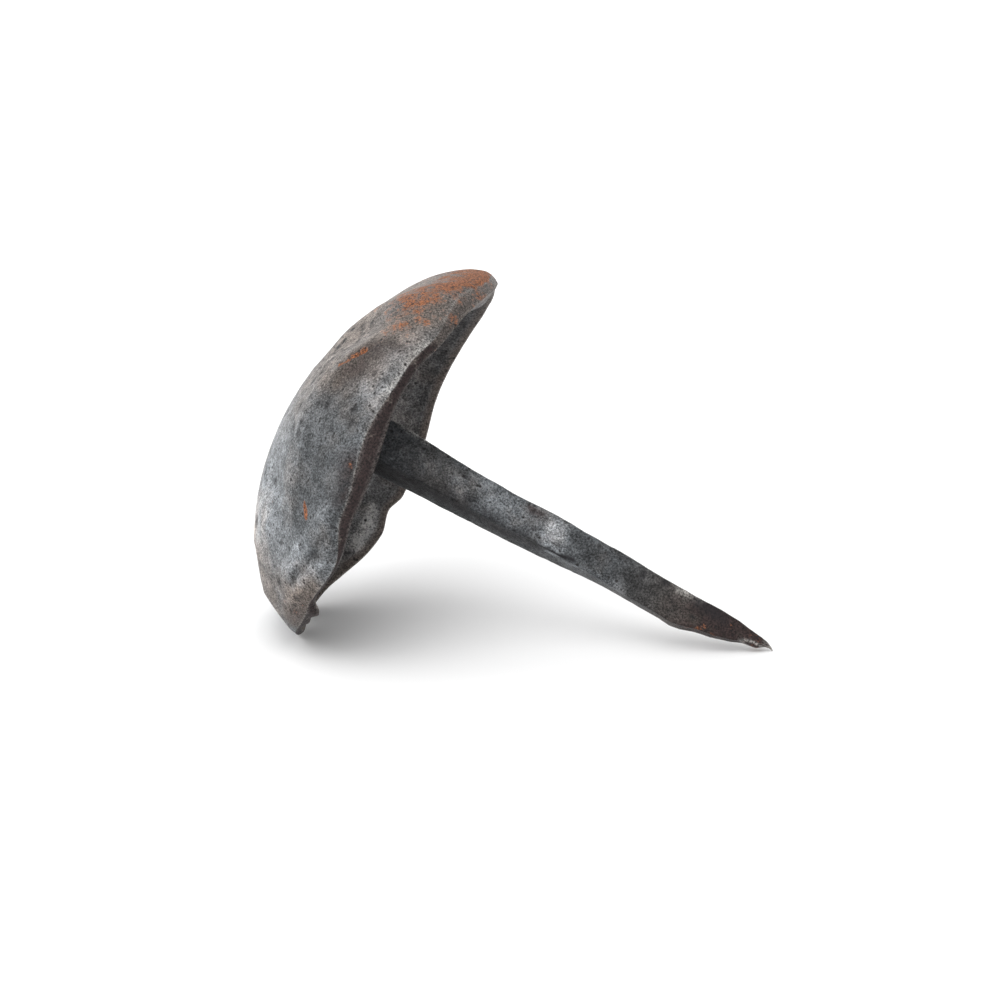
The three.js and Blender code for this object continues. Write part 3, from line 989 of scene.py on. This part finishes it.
def forged_iron(name, brightness):
    """Fire-scaled iron: blue-grey scale with a fine grain, brown stain, wear and rust, with painted
    shade and painted highlights from the masks.
    """
    n = Nodes(name)
    large = n.noise(per_mm=0.16, detail=3, roughness=0.6)
    middle = n.noise(per_mm=0.6, detail=5, roughness=0.65)
    grain = n.noise(per_mm=4.2, detail=4, roughness=0.8)
    fleck = n.cells(per_mm=1.1)

    def blend(grain_share, middle_share):
        fine = n.math("MULTIPLY", grain, grain_share)
        return n.math("ADD", fine, n.math("MULTIPLY", middle, middle_share))

    mottle = blend(0.7, 0.3)

    def scale_in(tint):
        greys = [tuple(brightness * grey * part for part in tint) for grey in SCALE_GREYS]
        return n.ramp(mottle, *zip(SCALE_STOPS, greys))

    warmth = n.math("ADD", n.mask("warm"), n.ranged(large, 0.5, 0.7, 0.0, 0.4), clamp=True)
    colour = n.mix(warmth, scale_in(COOL_TINT), scale_in(WARM_TINT))
    colour = n.scaled(colour, n.mask("tone"))
    stained = n.math("MULTIPLY", n.mask("stain"), n.ranged(middle, 0.32, 0.55), clamp=True)
    brown = n.ramp(grain, (0.38, BROWN_DARK), (0.62, BROWN_LIGHT))
    colour = n.mix(stained, colour, brown)
    # The pale mask mixes in wear and painted highlights.
    wear_and_highlight = n.math("MULTIPLY", n.mask("pale"), n.ranged(grain, 0.40, 0.62), clamp=True)
    colour = n.mix(wear_and_highlight, colour, WORN_METAL_AND_HIGHLIGHT)
    # The dark mask mixes in painted shade.
    dark_and_shaded = n.math("MULTIPLY", n.mask("dark"), 0.85, clamp=True)
    colour = n.mix(dark_and_shaded, colour, DARK_AND_SHADE)
    ragged = n.math("ADD", blend(0.7, 1.3), n.mask("rust"))
    rusty = n.ranged(ragged, 1.32, 1.52, 0.0, 0.95)
    orange = n.ramp(grain, (0.42, RUST_DARK), (0.58, RUST_LIGHT))
    colour = n.mix(rusty, colour, orange)
    specks = n.ranged(fleck, 0.15, 0.28, 0.9, 0.0)
    specks = n.math("MULTIPLY", specks, n.ranged(middle, 0.46, 0.56))
    colour = n.mix(specks, colour, SPECK)
    n.link(colour, n.shader.inputs["Base Color"])
    smooth_where_light = n.ranged(mottle, 0.38, 0.62, 0.66, 0.44)
    roughness = n.math("ADD", smooth_where_light, n.math("MULTIPLY", rusty, 0.3))
    n.link(roughness, n.shader.inputs["Roughness"])
    n.link(n.math("SUBTRACT", 0.7, n.math("MULTIPLY", rusty, 0.6)), n.shader.inputs["Metallic"])
    height = n.math("SUBTRACT", blend(0.7, 0.9), n.math("MULTIPLY", specks, 0.5))
    n.link(n.bump(height, distance_mm=0.12), n.shader.inputs["Normal"])
    return n.material


# ---------------------------------------------------------------- scene

def finish_piece(piece, node, material):
    """Gives a piece its material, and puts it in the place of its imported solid."""
    piece.data.materials.append(material)
    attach(piece, "root")
    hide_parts(node)


# The studio's glows: the side that each comes from, its strength, and how narrow it is.
GLOWS = [
    ((0, -0.7, 0.7), 4.8, 20),
    ((-1, -0.1, 0.25), 2.6, 20),
    ((-0.7, 0.6, 0.4), 1.3, 20),
    ((0, 0, 1), 1.5, 20),
    ((0, 1, 0.15), 1.65, 7),
    ((0, 0, 1), 0.2, 0),
]


def add_camera():
    """A long lens that looks at the nail from a little above and to the right."""
    azimuth = math.radians(12.6)
    elevation = math.radians(14.3)
    distance = 0.5
    target = Vector((-0.0014, 0, 0.01738))
    back = Vector((
        math.sin(azimuth) * math.cos(elevation),
        -math.cos(azimuth) * math.cos(elevation),
        math.sin(elevation),
    ))
    data = bpy.data.cameras.new("camera")
    data.lens = 145.5
    data.sensor_width = 36
    data.clip_start = 0.01
    camera = bpy.data.objects.new("camera", data)
    camera.location = target + back * distance
    camera.rotation_euler = back.to_track_quat("Z", "Y").to_euler()
    bpy.context.scene.collection.objects.link(camera)
    bpy.context.scene.camera = camera


def add_floor():
    """A wide sheet of pale paper under the nail."""
    half = 4.0
    mesh = bpy.data.meshes.new("floor")
    corners = [(-half, -half, 0), (half, -half, 0), (half, half, 0), (-half, half, 0)]
    mesh.from_pydata(corners, [], [(0, 1, 2, 3)])
    floor = bpy.data.objects.new("floor", mesh)
    bpy.context.scene.collection.objects.link(floor)
    material = bpy.data.materials.new("pale_paper")
    material.use_nodes = True
    shader = material.node_tree.nodes["Principled BSDF"]
    shader.inputs["Base Color"].default_value = (0.9, 0.9, 0.9, 1)
    shader.inputs["Roughness"].default_value = 0.9
    shader.inputs["Specular IOR Level"].default_value = 0.1
    mesh.materials.append(material)


def add_world():
    """A white studio: soft glows from the sides listed, on walls that the camera sees as white."""
    world = bpy.data.worlds.new("studio")
    world.use_nodes = True
    tree = world.node_tree
    place = tree.nodes.new("ShaderNodeTexCoord").outputs["Generated"]

    def calculate(operation, first, second):
        node = tree.nodes.new("ShaderNodeMath")
        node.operation = operation
        tree.links.new(first, node.inputs[0])
        if isinstance(second, bpy.types.NodeSocket):
            tree.links.new(second, node.inputs[1])
        else:
            node.inputs[1].default_value = second
        return node.outputs[0]

    total = None
    for side, strength, narrowness in GLOWS:
        toward = tree.nodes.new("ShaderNodeVectorMath")
        toward.operation = "DOT_PRODUCT"
        toward.inputs[1].default_value = Vector(side).normalized()
        tree.links.new(place, toward.inputs[0])
        away = calculate("SUBTRACT", toward.outputs["Value"], 1.0)
        nearness = calculate("MULTIPLY", calculate("ADD", away, 2.0), 0.5)
        glow = calculate("MULTIPLY", calculate("POWER", nearness, narrowness), strength)
        total = glow if total is None else calculate("ADD", total, glow)
    seen = tree.nodes.new("ShaderNodeLightPath")
    strength = tree.nodes.new("ShaderNodeMix")
    tree.links.new(seen.outputs["Is Camera Ray"], strength.inputs["Factor"])
    tree.links.new(total, strength.inputs["A"])
    strength.inputs["B"].default_value = 1.0
    background = tree.nodes["Background"]
    background.inputs["Color"].default_value = (1, 1, 1, 1)
    tree.links.new(strength.outputs["Result"], background.inputs["Strength"])
    bpy.context.scene.world = world
    bpy.context.scene.view_settings.view_transform = "Standard"


add_camera()
add_world()
add_floor()

finish_piece(build_head(), "dome_head", forged_iron("head_scale", 0.76))
finish_piece(build_shank(), "shank", forged_iron("shank_scale", 0.42))
finish_piece(build_weld(), "weld_bead", forged_iron("weld_scale", 0.45))
